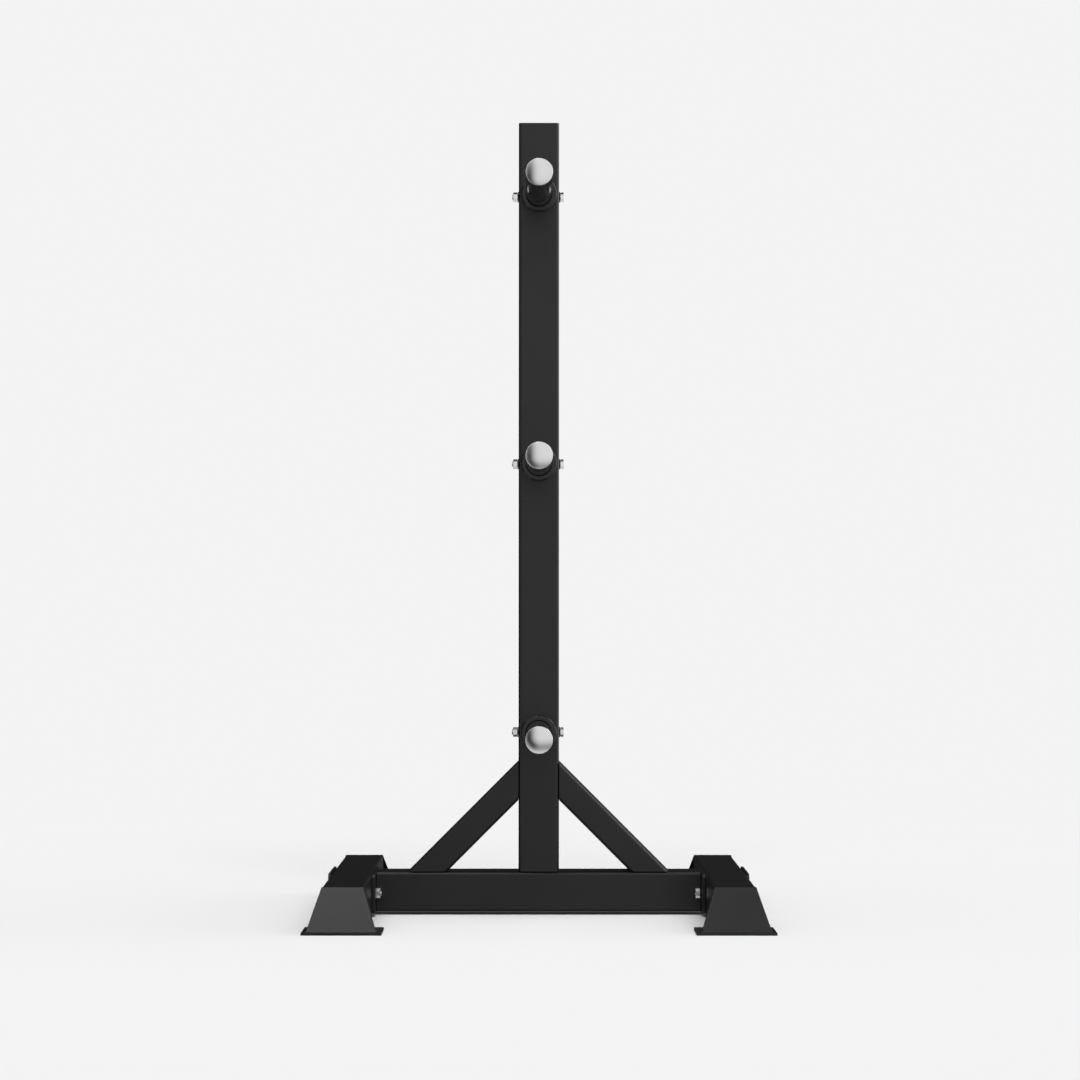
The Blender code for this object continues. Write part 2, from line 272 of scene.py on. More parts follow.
def makePowderCoat(name, look):
    material, nodes, links, shader = newFinish(name)
    cloud = grain(nodes, links, look["cloud"], detail=4)
    peel = grain(nodes, links, look["peel"], detail=1)
    powder = grain(nodes, links, look["powder"], detail=3, roughness=0.6)
    links.new(twoTone(nodes, links, cloud, look["dark"], look["light"]), shader.inputs["Base Color"])
    gloss = spread(nodes, links, powder, noiseMiddle, look["roughness"])
    links.new(gloss, shader.inputs["Roughness"])
    surface = raised(nodes, links, peel, look["peelHeight"])
    surface = raised(nodes, links, powder, look["powderHeight"], surface)
    links.new(surface, shader.inputs["Normal"])
    shader.inputs["Specular IOR Level"].default_value = look["specular"]
    return material


pegCoat = {
    "dark": (0.0030, 0.0030, 0.0032),
    "light": (0.0044, 0.0044, 0.0046),
    "cloud": 22,
    "peel": 420,
    "peelHeight": 0.00002,
    "powder": 1500,
    "powderHeight": 0.000003,
    "roughness": (0.07, 0.11),
    "specular": 0.42,
}

satinSteel = {
    "dark": (0.71, 0.71, 0.715),
    "light": (0.74, 0.74, 0.745),
    "cloud": 60,
    "brushing": 2600,         # the finest scratches
    "brushHeight": 0.0000004,
    "roughness": (0.13, 0.16),
}

zincPlate = {
    "dark": (0.76, 0.765, 0.77),
    "light": (0.86, 0.86, 0.86),
    "cloud": 260,
    "brushing": 3200,
    "brushHeight": 0.000002,
    "roughness": (0.18, 0.24),
}

blackOxide = {
    "dark": (0.018, 0.018, 0.019),
    "light": (0.032, 0.032, 0.033),
    "cloud": 300,
    "brushing": 2800,
    "brushHeight": 0.000004,
    "roughness": (0.36, 0.48),
}


def makeMetal(name, look):
    material, nodes, links, shader = newFinish(name)
    cloud = grain(nodes, links, look["cloud"], detail=3)
    brushing = grain(nodes, links, look["brushing"])
    links.new(twoTone(nodes, links, cloud, look["dark"], look["light"]), shader.inputs["Base Color"])
    gloss = spread(nodes, links, cloud, noiseMiddle, look["roughness"])
    links.new(gloss, shader.inputs["Roughness"])
    links.new(raised(nodes, links, brushing, look["brushHeight"]), shader.inputs["Normal"])
    shader.inputs["Metallic"].default_value = 1.0
    return material


frameBlack = makePowderCoat("framePowderCoat", powderCoat)
pegBlack = makePowderCoat("pegPowderCoat", pegCoat)
capSilver = makeMetal("satinSteel", satinSteel)
boltZinc = makeMetal("zincPlate", zincPlate)
washerBlack = makeMetal("blackOxide", blackOxide)
print("finishes made")


# Sizes of the bolts and of their holes

bolting = {
    "diameter": 0.010,
    "flats": 0.016,
    "pitch": 0.0015,
    "washerGap": 0.0003,      # between a washer, nut or head and what it rests on
    "boreGap": 0.0005,        # round a peg or a bolt in its hole
    "holeSteps": 36,
}
boltHole = bolting["diameter"] / 2 + bolting["boreGap"]
halfFlats = bolting["flats"] / 2


# Square tubes of the frame

tubing = {
    "wall": 0.003,
    "cornerRadius": 0.006,
    "sawnEdge": 0.0004,       # how far a sawn end is broken
    "pegHoleSteps": 96,       # faces round the column's hole for a peg
}


def sawnTube(width, depth, across, ends):
    # ends are two (point on the tube's axis, direction that the cut faces)
    (startPoint, startFace), (endPoint, endFace) = ends
    run = endPoint - startPoint
    margin = shaping["sawMargin"]
    bm = rectangle(width, depth, tubing["cornerRadius"])
    rim = bmesh.ops.inset_region(
        bm, faces=bm.faces[:], thickness=tubing["wall"], use_boundary=True, use_even_offset=True
    )
    hollow = [face for face in bm.faces if face not in rim["faces"]]
    bmesh.ops.delete(bm, geom=hollow, context="FACES_ONLY")
    extrudeUp(bm, run.length + 2 * margin)
    along = run.normalized()
    place(bm, across, along, startPoint - along * margin)
    saw(bm, startPoint, startFace)
    saw(bm, endPoint, endFace)
    breakEdges(bm, tubing["sawnEdge"])
    return bm


def drill(bm, axis, centres, radius, steps):
    # cuts round holes along X or Y right through the piece, one at each centre
    turn = Matrix.Rotation(math.pi / 2, 4, "Y" if axis == "X" else "X")
    rods = bmesh.new()
    for centre in centres:
        bmesh.ops.create_cone(
            rods,
            cap_ends=True,
            segments=steps,
            radius1=radius,
            radius2=radius,
            depth=shaping["drillLength"],
            matrix=Matrix.Translation(centre) @ turn,
        )
    solids = []
    for shape, name in ((bm, "blank"), (rods, "drill")):
        bmesh.ops.recalc_face_normals(shape, faces=shape.faces)
        solids.append(addMesh(shape, name))
    blank, rod = solids
    holes = blank.modifiers.new("holes", "BOOLEAN")
    holes.operation = "DIFFERENCE"
    holes.solver = "EXACT"
    holes.object = rod
    drilled = bmesh.new()
    drilled.from_object(blank, bpy.context.evaluated_depsgraph_get())
    for solid in solids:
        bpy.data.objects.remove(solid, do_unlink=True)
    return drilled


def pegAxis(level):
    return boxOf("peg_tube_" + level)[2].z


def pegRadius(level):
    low, high, _ = boxOf("peg_tube_" + level)
    return (high.x - low.x) / 2


def makeColumn():
    low, high, _ = boxOf("column")
    width = high.x - low.x
    ends = (
        (Vector((0, 0, low.z)), Vector((0, 0, -1))),
        (Vector((0, 0, high.z)), Vector((0, 0, 1))),
    )
    bm = sawnTube(width, width, (1, 0, 0), ends)
    levels = [(0, 0, pegAxis(level)) for level in levelNames]
    pegHole = pegRadius("upper") + bolting["boreGap"]
    bm = drill(bm, "Y", levels, pegHole, tubing["pegHoleSteps"])
    bm = drill(bm, "X", levels, boltHole, bolting["holeSteps"])
    finishPiece(bm, "column", frameBlack)


def makeCrossTube():
    low, high, middle = boxOf("cross_tube")
    ends = (
        (Vector((low.x, middle.y, middle.z)), Vector((-1, 0, 0))),
        (Vector((high.x, middle.y, middle.z)), Vector((1, 0, 0))),
    )
    bm = sawnTube(high.y - low.y, high.z - low.z, (0, 1, 0), ends)
    finishPiece(bm, "cross_tube", frameBlack)


braces = {
    "width": 0.0508,          # seen from the front
}


def makeBrace(side):
    # mitred onto the column's side at its upper end and the top of the cross tube at its lower end
    node = "brace_" + sideNames[side]
    low, high, _ = boxOf(node)
    columnFace = low.x if side == right else high.x
    outward = Vector((side, 0, 1)).normalized()
    down = Vector((side, 0, -1)).normalized()
    topCorner = Vector((columnFace, 0, high.z))
    axisPoint = topCorner - outward * braces["width"] / 2
    reach = (axisPoint.z - low.z) / -down.z
    ends = (
        (axisPoint + down * (columnFace - axisPoint.x) / down.x, Vector((-side, 0, 0))),
        (axisPoint + down * reach, Vector((0, 0, -1))),
    )
    bm = sawnTube(braces["width"], high.y - low.y, outward, ends)
    finishPiece(bm, node, frameBlack)


topPlug = {
    "cornerRadius": 0.0027,
    "edge": 0.0004,
}


def makeTopPlug():
    low, high, _ = boxOf("column_top_cap")
    bm = rectangle(high.x - low.x, high.y - low.y, topPlug["cornerRadius"])
    extrudeUp(bm, high.z - low.z)
    breakEdges(bm, topPlug["edge"])
    bmesh.ops.translate(bm, vec=(0, 0, low.z), verts=bm.verts)
    finishPiece(bm, "column_top_cap", frameBlack)


makeColumn()
makeTopPlug()
makeCrossTube()
makeBrace(left)
makeBrace(right)
print("column, cross tube and braces made")


# Feet

endPlates = {
    "lean": 30,               # degrees from upright
    "thickness": 0.005,
    "upperInset": 0.001,      # of each upper corner, from the tube's side
    "edge": 0.0006,
    "seatGap": 0.0003,        # between a plate and the sawn tube behind it
}


def endPlane(side, end):
    # the plane behind an end plate, on which the foot tube is sawn
    plateLow, plateHigh, _ = boxOf("end_plate_" + sideNames[side] + "_" + endNames[end])
    lean = math.radians(endPlates["lean"])
    back = (endPlates["thickness"] + endPlates["seatGap"]) / math.cos(lean)
    outer = plateLow.y if end == front else plateHigh.y
    point = Vector((0, outer - end * back, plateLow.z))
    facing = Vector((0, end * math.cos(lean), math.sin(lean)))
    return point, facing


def boltPlaces(side):
    places = []
    for end in (front, rear):
        middle = boxOf("foot_nut_" + sideNames[side] + "_" + endNames[end])[2]
        places.append(tuple(middle))
    return places


def makeFootTube(side):
    node = "foot_tube_" + sideNames[side]
    low, high, middle = boxOf(node)
    ends = []
    for end in (front, rear):
        point, facing = endPlane(side, end)
        down = (middle.z - point.z) * facing.z / facing.y
        ends.append((Vector((middle.x, point.y - down, middle.z)), facing))
    bm = sawnTube(high.x - low.x, high.z - low.z, (1, 0, 0), ends)
    bm = drill(bm, "X", boltPlaces(side), boltHole, bolting["holeSteps"])
    finishPiece(bm, node, frameBlack)


def makeEndPlate(side, end):
    # a trapezium that leans back over the end of the foot, level at its top and bottom
    node = "end_plate_" + sideNames[side] + "_" + endNames[end]
    low, high, middle = boxOf(node)
    tubeLow, tubeHigh, _ = boxOf("foot_tube_" + sideNames[side])
    height = high.z - low.z
    lean = math.radians(endPlates["lean"])
    thick = endPlates["thickness"] / math.cos(lean)
    bm = rectangle(high.x - low.x, height)
    narrowing = (tubeHigh.x - tubeLow.x - 2 * endPlates["upperInset"]) / (high.x - low.x)
    for vert in bm.verts:
        if vert.co.y > 0:
            vert.co.x *= narrowing
    extrudeUp(bm, thick)
    outer = low.y if end == front else high.y
    for vert in bm.verts:
        up = vert.co.y + height / 2
        inward = vert.co.z + up * math.tan(lean)
        vert.co = (middle.x + vert.co.x, outer - end * inward, low.z + up)
    bmesh.ops.recalc_face_normals(bm, faces=bm.faces)
    breakEdges(bm, endPlates["edge"])
    finishPiece(bm, node, frameBlack)


floorPlates = {
    "edge": 0.0006,
}


def makeFloorPlate(side, end):
    node = "floor_plate_" + sideNames[side] + "_" + endNames[end]
    low, high, middle = boxOf(node)
    bm = rectangle(high.x - low.x, high.y - low.y)
    extrudeUp(bm, high.z - low.z)
    breakEdges(bm, floorPlates["edge"])
    bmesh.ops.translate(bm, vec=(middle.x, middle.y, low.z), verts=bm.verts)
    finishPiece(bm, node, frameBlack)


sidePlates = {
    "corner": 0.008,
    "edge": 0.0005,
}


def makeSidePlate(node, side):
    # the flange on the cross tube's end, or the plate under the bolts' heads
    low, high, middle = boxOf(node)
    bm = rectangle(high.y - low.y, high.z - low.z, sidePlates["corner"])
    extrudeUp(bm, high.x - low.x)
    breakEdges(bm, sidePlates["edge"])
    place(bm, (0, 1, 0), (1, 0, 0), (low.x, middle.y, middle.z))
    bm = drill(bm, "X", boltPlaces(side), boltHole, bolting["holeSteps"])
    finishPiece(bm, node, frameBlack)


for side in (left, right):
    makeFootTube(side)
    makeSidePlate("inner_flange_" + sideNames[side], side)
    makeSidePlate("outer_plate_" + sideNames[side], side)
    for end in (front, rear):
        makeEndPlate(side, end)
        makeFloorPlate(side, end)
print("feet made")


# Pegs

pegs = {
    "wall": 0.003,
    "endEdge": 0.0004,
    "steps": 96,
}


def makePeg(level):
    node = "peg_tube_" + level
    low, high, middle = boxOf(node)
    outer = (high.x - low.x) / 2
    inner = outer - pegs["wall"]
    length = high.y - low.y
    edge = pegs["endEdge"]
    corners = (
        (inner, 0, edge),
        (outer, 0, edge),
        (outer, length, edge),
        (inner, length, edge),
    )
    bm = turned(corners, pegs["steps"])
    place(bm, (1, 0, 0), (0, 1, 0), (middle.x, low.y, middle.z))
    bm = drill(bm, "X", [tuple(middle)], boltHole, bolting["holeSteps"])
    finishPiece(bm, node, pegBlack)


collars = {
    "edge": 0.003,            # rounding of the outer edge
    "backEdge": 0.0006,
    "steps": 96,
}


def makeCollar(level, end):
    node = "peg_collar_" + level + "_" + endNames[end]
    low, high, middle = boxOf(node)
    bore = pegRadius(level) + bolting["boreGap"]
    outer = (high.x - low.x) / 2
    length = high.y - low.y
    corners = (
        (bore, 0, 0),
        (bore, length, collars["backEdge"]),
        (outer, length, collars["edge"]),
        (outer, 0, collars["backEdge"]),
    )
    bm = turned(corners, collars["steps"])
    seat = high.y if end == front else low.y
    place(bm, (1, 0, 0), (0, end, 0), (middle.x, seat, middle.z))
    finishPiece(bm, node, pegBlack)


caps = {
    "rim": 0.0015,            # height of the straight rim
    "rimEdge": 0.0006,
    "domeSteps": 14,
    "plugWall": 0.002,
    "plugGap": 0.0005,
    "seatGap": 0.0003,        # between a cap and the end of its peg
    "steps": 96,
}


def makeCap(level, end):
    # a domed disc with a rounded rim and a hollow plug, turned as one profile
    node = "peg_cap_" + level + "_" + endNames[end]
    low, high, middle = boxOf(node)
    pegLow, pegHigh, _ = boxOf("peg_tube_" + level)
    radius = (high.x - low.x) / 2
    plug = pegRadius(level) - pegs["wall"] - caps["plugGap"]
    seat = pegLow.y - caps["seatGap"] if end == front else pegHigh.y + caps["seatGap"]
    top = abs((low.y if end == front else high.y) - seat)
    plugEnd = -abs((high.y if end == front else low.y) - seat)
    dome = top - caps["rim"]
    domeRadius = (radius**2 + dome**2) / (2 * dome)
    sweep = math.asin(radius / domeRadius)
    bm = bmesh.new()
    crown = bm.verts.new((0, 0, top))
    bmesh.ops.spin(
        bm,
        geom=[crown],
        cent=(0, 0, top - domeRadius),
        axis=(0, 1, 0),
        angle=sweep,
        steps=caps["domeSteps"],
    )
    rim = max(bm.verts, key=lambda vert: vert.co.x)
    last = rim
    bore = plug - caps["plugWall"]
    for x, z in ((radius, 0), (plug, 0), (plug, plugEnd), (bore, plugEnd), (bore, 0), (0, 0)):
        corner = bm.verts.new((x, 0, z))
        bm.edges.new((last, corner))
        last = corner
    roundCorners(bm, [rim], caps["rimEdge"], shaping["edgeSteps"] + 1)
    lathe(bm, caps["steps"])
    place(bm, (1, 0, 0), (0, end, 0), (middle.x, seat, middle.z))
    finishPiece(bm, node, capSilver)


for level in levelNames:
    makePeg(level)
    for end in (front, rear):
        makeCollar(level, end)
        makeCap(level, end)
print("pegs, collars and caps made")


# Bolts, nuts and washers

hexagons = {
    "steps": 72,              # faces round a head or a nut
    "cornerRound": 0.00005,   # how far the corners are rounded in
    "chamferSlope": 25,       # degrees, of the turned chamfer
    "chamferHeight": 0.0002,  # from the end face down to the flats
    "faceRadius": 0.96,       # of the half flats, of the end face
    "faceEdge": 0.0002,       # rounding of the end face's edge
}


def makeHexagon(bm):
    # pushes the turned points at the flats' radius out to the hexagon and down its chamfers
    slope = math.tan(math.radians(hexagons["chamferSlope"]))
    sector = 360 / 6          # degrees that one side of the hexagon spans
    corner = halfFlats / math.cos(math.radians(sector / 2)) - hexagons["cornerRound"]
    onFlats = []
    for vert in bm.verts:
        if abs(math.hypot(vert.co.x, vert.co.y) - halfFlats) < shaping["mergeDistance"]:
            onFlats.append(vert)
    heights = [vert.co.z for vert in onFlats]
    middle = (max(heights) + min(heights)) / 2
    for vert in onFlats:
        angle = math.degrees(math.atan2(vert.co.y, vert.co.x)) % sector
        radius = min(halfFlats / math.cos(math.radians(angle - sector / 2)), corner)
        drop = (radius - halfFlats) * slope
        vert.co.z += -drop if vert.co.z > middle else drop
        vert.co.xy *= radius / halfFlats


threads = {
    "length": 0.025,          # from the bolt's tip
    "depth": 0.6,             # of the pitch
    "crest": (0.44, 0.56),    # of the pitch, where the flat crest begins and ends
    "spareTurns": 2,          # cut off again at the ends
    "steps": 36,              # faces in one turn
    "mergeDistance": 1e-5,
    "cutTolerance": 1e-7,
}


def makeThread(bm, low, high):
    # a helical thread between two heights, closed at both ends
    pitch, steps = bolting["pitch"], threads["steps"]
    tip = bolting["diameter"] / 2
    root = tip - pitch * threads["depth"]
    crestStart, crestEnd = threads["crest"]
    turns = math.ceil((high - low) / pitch) + threads["spareTurns"]
    start = low - pitch
    coil = bmesh.new()
    tooth = []
    for radius, share in ((root, 0), (tip, crestStart), (tip, crestEnd), (root, 1)):
        tooth.append(coil.verts.new((radius, 0, start + pitch * share)))
    for one, other in zip(tooth, tooth[1:]):
        coil.edges.new((one, other))
    bmesh.ops.spin(
        coil,
        geom=coil.verts[:] + coil.edges[:],
        cent=(0, 0, 0),
        axis=(0, 0, 1),
        dvec=(0, 0, pitch / steps),
        angle=2 * math.pi * turns,
        steps=steps * turns,
    )
    bmesh.ops.remove_doubles(coil, verts=coil.verts, dist=threads["mergeDistance"])
    for height, outward in ((low, -1), (high, 1)):
        rim = cutOff(coil, (0, 0, height), (0, 0, outward), threads["cutTolerance"])
        bmesh.ops.edgeloop_fill(coil, edges=rim)
    mesh = bpy.data.meshes.new("thread")
    coil.to_mesh(mesh)
    coil.free()
    bm.from_mesh(mesh)
    bpy.data.meshes.remove(mesh)


def laySideways(bm, outward, seat, middle):
    # lays the piece down, to stand on its seat and face outward along X
    place(bm, (0, 0, -outward), (outward, 0, 0), (seat, middle.y, middle.z))


bolts = {
    "seatRadius": 0.94,       # of the half flats, of the raised seat under the head
    "seatHeight": 0.0003,
    "flatsHeight": 0.0004,    # from the seat up to the flats
    "shankEdge": 0.0002,      # rounding of the shank's end
    "neckRadius": 0.84,       # of the shank, where it goes into the thread
    "neckLength": 0.0008,
}


def makeBolt(node, outward, seat):
    # the head stands on its seat and the shank runs back through the piece to its tip
    low, high, middle = boxOf(node)
    head = abs((high.x if outward > 0 else low.x) - seat)
    length = abs((low.x if outward > 0 else high.x) - seat)
    radius = bolting["diameter"] / 2
    face = halfFlats * hexagons["faceRadius"]
    threadTop = threads["length"] - length
    neck = threadTop - bolts["neckLength"]
    corners = (
        (0, head, 0),
        (face, head, hexagons["faceEdge"]),
        (halfFlats, head - hexagons["chamferHeight"], 0),
        (halfFlats, bolts["flatsHeight"], 0),
        (face, bolts["seatHeight"], 0),
        (halfFlats * bolts["seatRadius"], 0, 0),
        (radius, 0, 0),
        (radius, threadTop, bolts["shankEdge"]),
        (radius * bolts["neckRadius"], neck, 0),
        (0, neck, 0),
    )
    bm = turned(corners, hexagons["steps"])
    makeHexagon(bm)
    makeThread(bm, -length, threadTop)
    laySideways(bm, outward, seat, middle)
    finishPiece(bm, node, boltZinc)


nuts = {
    "boreEdge": 0.0003,       # rounding of the bore's edges
}


def makeNut(node, outward):
    low, high, middle = boxOf(node)
    height = high.x - low.x
    face = halfFlats * hexagons["faceRadius"]
    corners = (
        (boltHole, 0, nuts["boreEdge"]),
        (boltHole, height, nuts["boreEdge"]),
        (face, height, hexagons["faceEdge"]),
        (halfFlats, height - hexagons["chamferHeight"], 0),
        (halfFlats, hexagons["chamferHeight"], 0),
        (face, 0, hexagons["faceEdge"]),
    )
    bm = turned(corners, hexagons["steps"])
    makeHexagon(bm)
    laySideways(bm, outward, low.x if outward > 0 else high.x, middle)
    finishPiece(bm, node, boltZinc)


washers = {
    "edge": 0.25,             # rounding of the edges, of the thickness
    "steps": 72,
}


def makeWasher(node, outward):
    low, high, middle = boxOf(node)
    thickness = high.x - low.x
    outer = (high.z - low.z) / 2
    edge = thickness * washers["edge"]
    corners = (
        (boltHole, 0, 0),
        (boltHole, thickness, edge),
        (outer, thickness, edge),
        (outer, 0, edge),
    )
    bm = turned(corners, washers["steps"])
    laySideways(bm, outward, low.x if outward > 0 else high.x, middle)
    finishPiece(bm, node, washerBlack)


for level in levelNames:
    washerHigh = boxOf("cross_washer_" + level + "_right")[1]
    makeBolt("cross_bolt_" + level, right, washerHigh.x + bolting["washerGap"])
    makeNut("cross_nut_" + level, left)
    for side in (left, right):
        makeWasher("cross_washer_" + level + "_" + sideNames[side], side)

for side in (left, right):
    plateLow, plateHigh, _ = boxOf("outer_plate_" + sideNames[side])
    plateFace = plateLow.x if side == left else plateHigh.x
    for end in (front, rear):
        corner = sideNames[side] + "_" + endNames[end]
        makeBolt("foot_bolt_" + corner, side, plateFace + side * bolting["washerGap"])
        makeNut("foot_nut_" + corner, -side)
        if side == right:
            makeWasher("foot_washer_" + corner, left)
print("bolts, nuts and washers made")


# Studio

studio = {
    "backdrop": 0.896,        # the pale grey of the floor and the background
    "fill": 0.18,             # light from the room, for everything but reflections
    "floorSize": 60,
    "floorColour": 0.90,
    "shadowReach": (1.3, 2.6),  # past this the floor shows the backdrop's own grey
    "lampDistance": 4,        # where the lamps stand, though a sun lights the same from anywhere
    "darkReflectionCard": 0.005,       # how much light a black card, a painted dark reflection, still gives back
}


def grey(value):
    return (value, value, value, 1)


def calculate(nodes, links, operation, first, second):
    result = nodes.new("ShaderNodeMath")
    result.operation = operation
    links.new(first, result.inputs[0])
    links.new(second, result.inputs[1])
    return result.outputs[0]


def raiseTo(nodes, links, value, power):
    result = nodes.new("ShaderNodeMath")
    result.operation = "POWER"
    links.new(value, result.inputs[0])
    result.inputs[1].default_value = power
    return result.outputs[0]


def newGlow(name):
    # a material that only glows, white until its colour is set or linked
    material = bpy.data.materials.new(name)
    material.use_nodes = True
    nodes, links = material.node_tree.nodes, material.node_tree.links
    nodes.clear()
    output = nodes.new("ShaderNodeOutputMaterial")
    glow = nodes.new("ShaderNodeEmission")
    glow.inputs["Color"].default_value = grey(1)
    links.new(glow.outputs[0], output.inputs["Surface"])
    return material, nodes, links, glow


lens = {
    "place": (-0.00876, -5.7549, 0.5835),
    "tilt": 1.222,            # degrees, like pan and roll
    "pan": -0.110,
    "roll": 0.02,
    "focal": 101.116,         # millimetres, like the sensor
    "sensor": 36,
}


def makeCamera():
    data = bpy.data.cameras.new("camera")
    data.lens = lens["focal"]
    data.sensor_width = lens["sensor"]
    data.dof.use_dof = False
    camera = bpy.data.objects.new("camera", data)
    camera.location = lens["place"]
    turns = (90 + lens["tilt"], -lens["roll"], lens["pan"])
    camera.rotation_euler = [math.radians(angle) for angle in turns]
    bpy.context.scene.collection.objects.link(camera)
    bpy.context.scene.camera = camera


def makeWorld():
    # the camera and reflections see the pale backdrop, and diffuse light comes from the softer fill
    world = bpy.data.worlds.new("studio")
    world.use_nodes = True
    nodes, links = world.node_tree.nodes, world.node_tree.links
    nodes.clear()
    output = nodes.new("ShaderNodeOutputWorld")
    rays = nodes.new("ShaderNodeLightPath").outputs
    seen = calculate(nodes, links, "MAXIMUM", rays["Is Camera Ray"], rays["Is Glossy Ray"])
    seen = calculate(nodes, links, "MAXIMUM", seen, rays["Is Transmission Ray"])
    room = nodes.new("ShaderNodeBackground")
    room.inputs["Color"].default_value = grey(1)
    room.inputs["Strength"].default_value = studio["fill"]
    backdrop = nodes.new("ShaderNodeBackground")
    backdrop.inputs["Color"].default_value = grey(studio["backdrop"])
    backdrop.inputs["Strength"].default_value = 1.0
    mix = nodes.new("ShaderNodeMixShader")
    links.new(seen, mix.inputs["Fac"])
    links.new(room.outputs[0], mix.inputs[1])
    links.new(backdrop.outputs[0], mix.inputs[2])
    links.new(mix.outputs[0], output.inputs["Surface"])
    bpy.context.scene.world = world


def makeFloor():
    # lit near the tree, to take its shadow, and fading into the backdrop's own grey
    material, nodes, links, glow = newGlow("paleFloor")
    glow.inputs["Color"].default_value = grey(studio["backdrop"])
    coordinates = nodes.new("ShaderNodeTexCoord")
    distance = nodes.new("ShaderNodeVectorMath")
    distance.operation = "LENGTH"
    links.new(coordinates.outputs["Object"], distance.inputs[0])
    fade = nodes.new("ShaderNodeMapRange")
    fade.interpolation_type = "SMOOTHSTEP"
    fade.inputs["From Min"].default_value = studio["shadowReach"][0]
    fade.inputs["From Max"].default_value = studio["shadowReach"][1]
    links.new(distance.outputs["Value"], fade.inputs["Value"])
    lit = nodes.new("ShaderNodeBsdfDiffuse")
    lit.inputs["Color"].default_value = grey(studio["floorColour"])
    mix = nodes.new("ShaderNodeMixShader")
    links.new(fade.outputs["Result"], mix.inputs["Fac"])
    links.new(lit.outputs[0], mix.inputs[1])
    links.new(glow.outputs[0], mix.inputs[2])
    links.new(mix.outputs[0], nodes["Material Output"].inputs["Surface"])
    floor = addMesh(rectangle(studio["floorSize"], studio["floorSize"]), "floor", material)
    floor.visible_glossy = False    # reflections see the backdrop and the cards below it instead


def direction(azimuth, elevation):
    turn, rise = math.radians(azimuth), math.radians(elevation)
    return Vector((math.sin(turn) * math.cos(rise), -math.cos(turn) * math.cos(rise), math.sin(rise)))


lamps = {          # degrees: azimuth from the front towards the right, elevation, and the light's width
    "key": {"azimuth": 70, "elevation": 50, "width": 80, "strength": 0.82},
    "front": {"azimuth": 5, "elevation": 38, "width": 44, "strength": 2.62},
    "left": {"azimuth": -75, "elevation": 55, "width": 60, "strength": 0.34},
    "rim": {"azimuth": 105, "elevation": 8, "width": 24, "strength": 0.4},
}


def makeLamps():
    for name, lamp in lamps.items():
        light = bpy.data.lights.new(name, "SUN")
        light.energy = lamp["strength"]
        light.angle = math.radians(lamp["width"])
        sun = bpy.data.objects.new(name, light)
        sun.location = studio["lampDistance"] * direction(lamp["azimuth"], lamp["elevation"])
        sun.rotation_euler = (-sun.location).to_track_quat("-Z", "Y").to_euler()
        sun.visible_glossy = name == "rim"    # the cards, painted reflections, stand in for the others in reflections
        bpy.context.scene.collection.objects.link(sun)


def follow(nodes, links, value, points):
    # a grey that follows the points, each (value, grey)
    low, high = points[0][0], points[-1][0]
    ramp = nodes.new("ShaderNodeValToRGB")
    for i, (at, shade) in enumerate(points):
        share = (at - low) / (high - low)
        if i in (0, len(points) - 1):
            stop = ramp.color_ramp.elements[0 if i == 0 else -1]
            stop.position = share
        else:
            stop = ramp.color_ramp.elements.new(share)
        stop.color = grey(shade)
    links.new(spread(nodes, links, value, (low, high), (0, 1)), ramp.inputs["Fac"])
    return ramp.outputs["Color"]


def placeOnCard(nodes, links):
    # X and Z on the card, which are the room's own, as every card's object sits at the origin
    coordinates = nodes.new("ShaderNodeTexCoord")
    split = nodes.new("ShaderNodeSeparateXYZ")
    links.new(coordinates.outputs["Object"], split.inputs[0])
    return split.outputs["X"], split.outputs["Z"]


# the black cards are seen only in reflections and paint dark reflections
def makeDarkReflectionCard():
    material = bpy.data.materials.new("darkReflectionCard")
    material.use_nodes = True
    shader = material.node_tree.nodes["Principled BSDF"]
    shader.inputs["Base Color"].default_value = grey(studio["darkReflectionCard"])
    shader.inputs["Roughness"].default_value = 1.0
    shader.inputs["Specular IOR Level"].default_value = 0.0
    return material


# the behind card's greys are a painted reflection, dark for the tops of the frame
behindCard = {
    "rise": (                 # (height in metres, grey)
        (-60, 0.9), (-57, 0.8), (-51, 0.32), (-45, 0.3), (-38, 0.5), (-14, 0.5), (-5, 0.03),
        (37, 0.02), (41, 0.02), (49, 0.04), (60, 0.15), (88, 0.6),
    ),
    "flank": (                # (metres to the right, grey)
        (6, 0.0), (18, 0.5), (43, 0.6),
    ),
}


def makeBehindCard():
    # a painted dark reflection behind the tree: black, and paler towards the right, low down and high up
    material, nodes, links, glow = newGlow("behindCard")
    x, z = placeOnCard(nodes, links)
    rise = follow(nodes, links, z, behindCard["rise"])
    flank = follow(nodes, links, x, behindCard["flank"])
    links.new(calculate(nodes, links, "MAXIMUM", rise, flank), glow.inputs["Color"])
    return material


# the front card's arc and lower end are painted dark reflections in the caps and the lower rounded edges
frontCard = {
    "grey": 0.92,
    "middle": (0.6, 1.0),     # X and Z of the bright middle of the arc
    "left": 2.65,             # metres from there to the darkest part of the arc
    "down": 2.3,
    "squareness": 2.4,        # 2 would make the arc round, more makes it squarer
    "arc": (                  # (distance from the middle, 1 where the arc is darkest, how dark)
        (0.0, 0.0), (0.14, 0.03), (0.32, 0.09), (0.4, 0.14), (0.5, 0.26), (0.59, 0.37),
        (0.68, 0.56), (0.78, 0.77), (0.88, 0.93), (0.98, 0.98), (1.09, 0.95), (1.2, 0.80),
        (1.33, 0.5), (1.46, 0.22), (1.6, 0.0),
    ),
    "acrossShare": (          # (X in metres, share of the arc's darkness)
        (-1.0, 1.0), (0.2, 0.66),
    ),
    "heightShare": (          # (height in metres, share of the arc's darkness)
        (-1.2, 0.95), (0.0, 1.0), (1.2, 1.0), (2.8, 0.85), (4.0, 0.6), (5.5, 0.2),
    ),
    "foot": (                 # (height in metres, how dark), for the card's lower end
        (-6, 0.85), (-4.2, 0.8), (-2.8, 0.0),
    ),
}


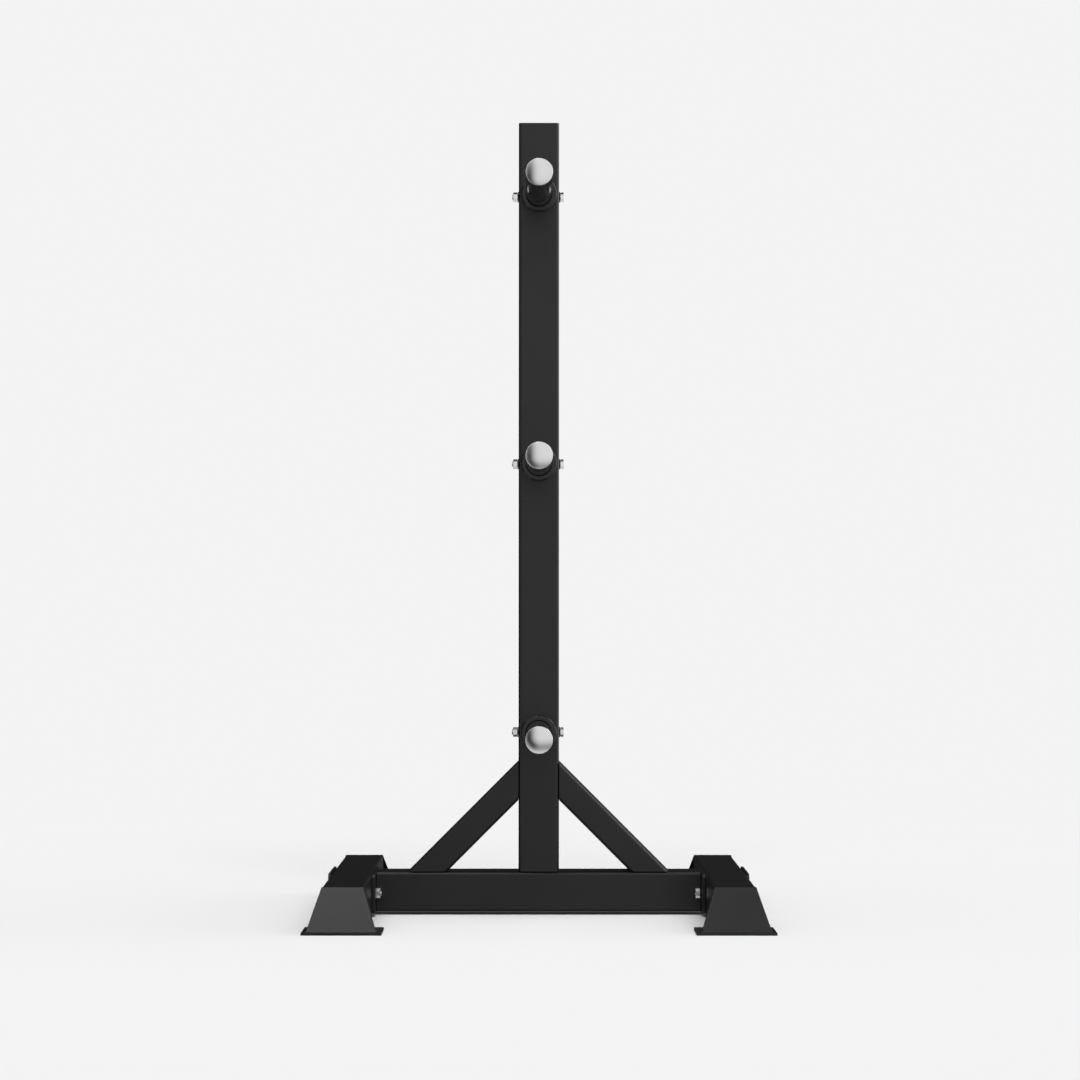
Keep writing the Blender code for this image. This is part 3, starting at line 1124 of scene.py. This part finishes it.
def makeFrontCard():
    # a painted reflection: pale, with a soft dark arc to the left and below that the caps show, and a
    # dark lower end
    material, nodes, links, glow = newGlow("frontCard")
    x, z = placeOnCard(nodes, links)
    middleX, middleZ = frontCard["middle"]
    parts = []
    for value, middle, reach in (
        (x, middleX, frontCard["left"]),
        (z, middleZ, frontCard["down"]),
    ):
        away = spread(nodes, links, value, (middle, middle - 2 * reach), (0, 2))
        parts.append(raiseTo(nodes, links, away, frontCard["squareness"]))
    away = calculate(nodes, links, "ADD", *parts)
    away = raiseTo(nodes, links, away, 1 / frontCard["squareness"])
    shade = follow(nodes, links, away, frontCard["arc"])
    for value, points in ((x, frontCard["acrossShare"]), (z, frontCard["heightShare"])):
        share = follow(nodes, links, value, points)
        shade = calculate(nodes, links, "MULTIPLY", shade, share)
    foot = follow(nodes, links, z, frontCard["foot"])
    shade = calculate(nodes, links, "MAXIMUM", shade, foot)
    tone = spread(nodes, links, shade, (0, 1), (frontCard["grey"], 0))
    links.new(tone, glow.inputs["Color"])
    return material


# every card is seen only in reflections, so each one is a painted reflection
# an upright card hangs plumb and the others face the tree squarely
# behind and front carry painted shades of their own, those in cardGlow glow evenly as painted
# highlights, and the rest are black and paint dark reflections
cards = {          # azimuth and elevation in degrees, distance and size (width, height) in metres
    "behind": {"azimuth": 180, "elevation": 25, "distance": 32, "size": (86, 150), "upright": True},
    "leftSide": {"azimuth": -95, "elevation": 8, "distance": 6, "size": (9, 8), "upright": False},
    "below": {"azimuth": 0, "elevation": -50, "distance": 1.5, "size": (6, 1.3), "upright": False},
    "front": {"azimuth": 0, "elevation": 0, "distance": 4.85, "size": (14, 12), "upright": True},
    # the next three cards paint a highlight on the left end plate, a dark reflection on the tops and the
    # bright line on the right brace
    "plateLight": {"azimuth": -12, "elevation": 53, "distance": 8, "size": (1.8, 3.2), "upright": False},
    "topsDarkReflection": {"azimuth": 22, "elevation": 58, "distance": 8.5, "size": (4.2, 3.8), "upright": False},
    "rightLight": {"azimuth": 56, "elevation": 40, "distance": 5, "size": (1.6, 1.6), "upright": False},
}

cardGlow = {
    "plateLight": 4.3,        # painted highlight on the left end plate, seen only in reflections
    "rightLight": 6,          # painted highlight, the bright line on the right brace, seen only in reflections
    "topsDarkReflection": 0.03,          # nearly black, a painted dark reflection on the tops
}


def makeCards():
    # cards that only reflections see, so they are painted reflections: the glowing ones paint highlights
    # and the black and shaded ones paint dark reflections
    black = makeDarkReflectionCard()
    surfaces = {"behind": makeBehindCard(), "front": makeFrontCard()}
    for name, strength in cardGlow.items():
        surfaces[name], _, _, glow = newGlow(name)
        glow.inputs["Strength"].default_value = strength
    for name, card in cards.items():
        away = direction(card["azimuth"], card["elevation"])
        facing = Vector((away.x, away.y, 0)).normalized() if card["upright"] else away
        centre = away * card["distance"] / facing.dot(away)
        across = facing.cross(Vector((0, 0, 1))).normalized()
        bm = rectangle(*card["size"])
        place(bm, across, -facing, centre)
        sheet = addMesh(bm, name + "Card", surfaces.get(name, black))
        sheet.visible_camera = False
        sheet.visible_diffuse = False
        sheet.visible_shadow = False


makeCamera()
makeWorld()
makeFloor()
makeLamps()
makeCards()
bpy.context.scene.view_settings.view_transform = "Standard"
print("studio made")


print("scene made")
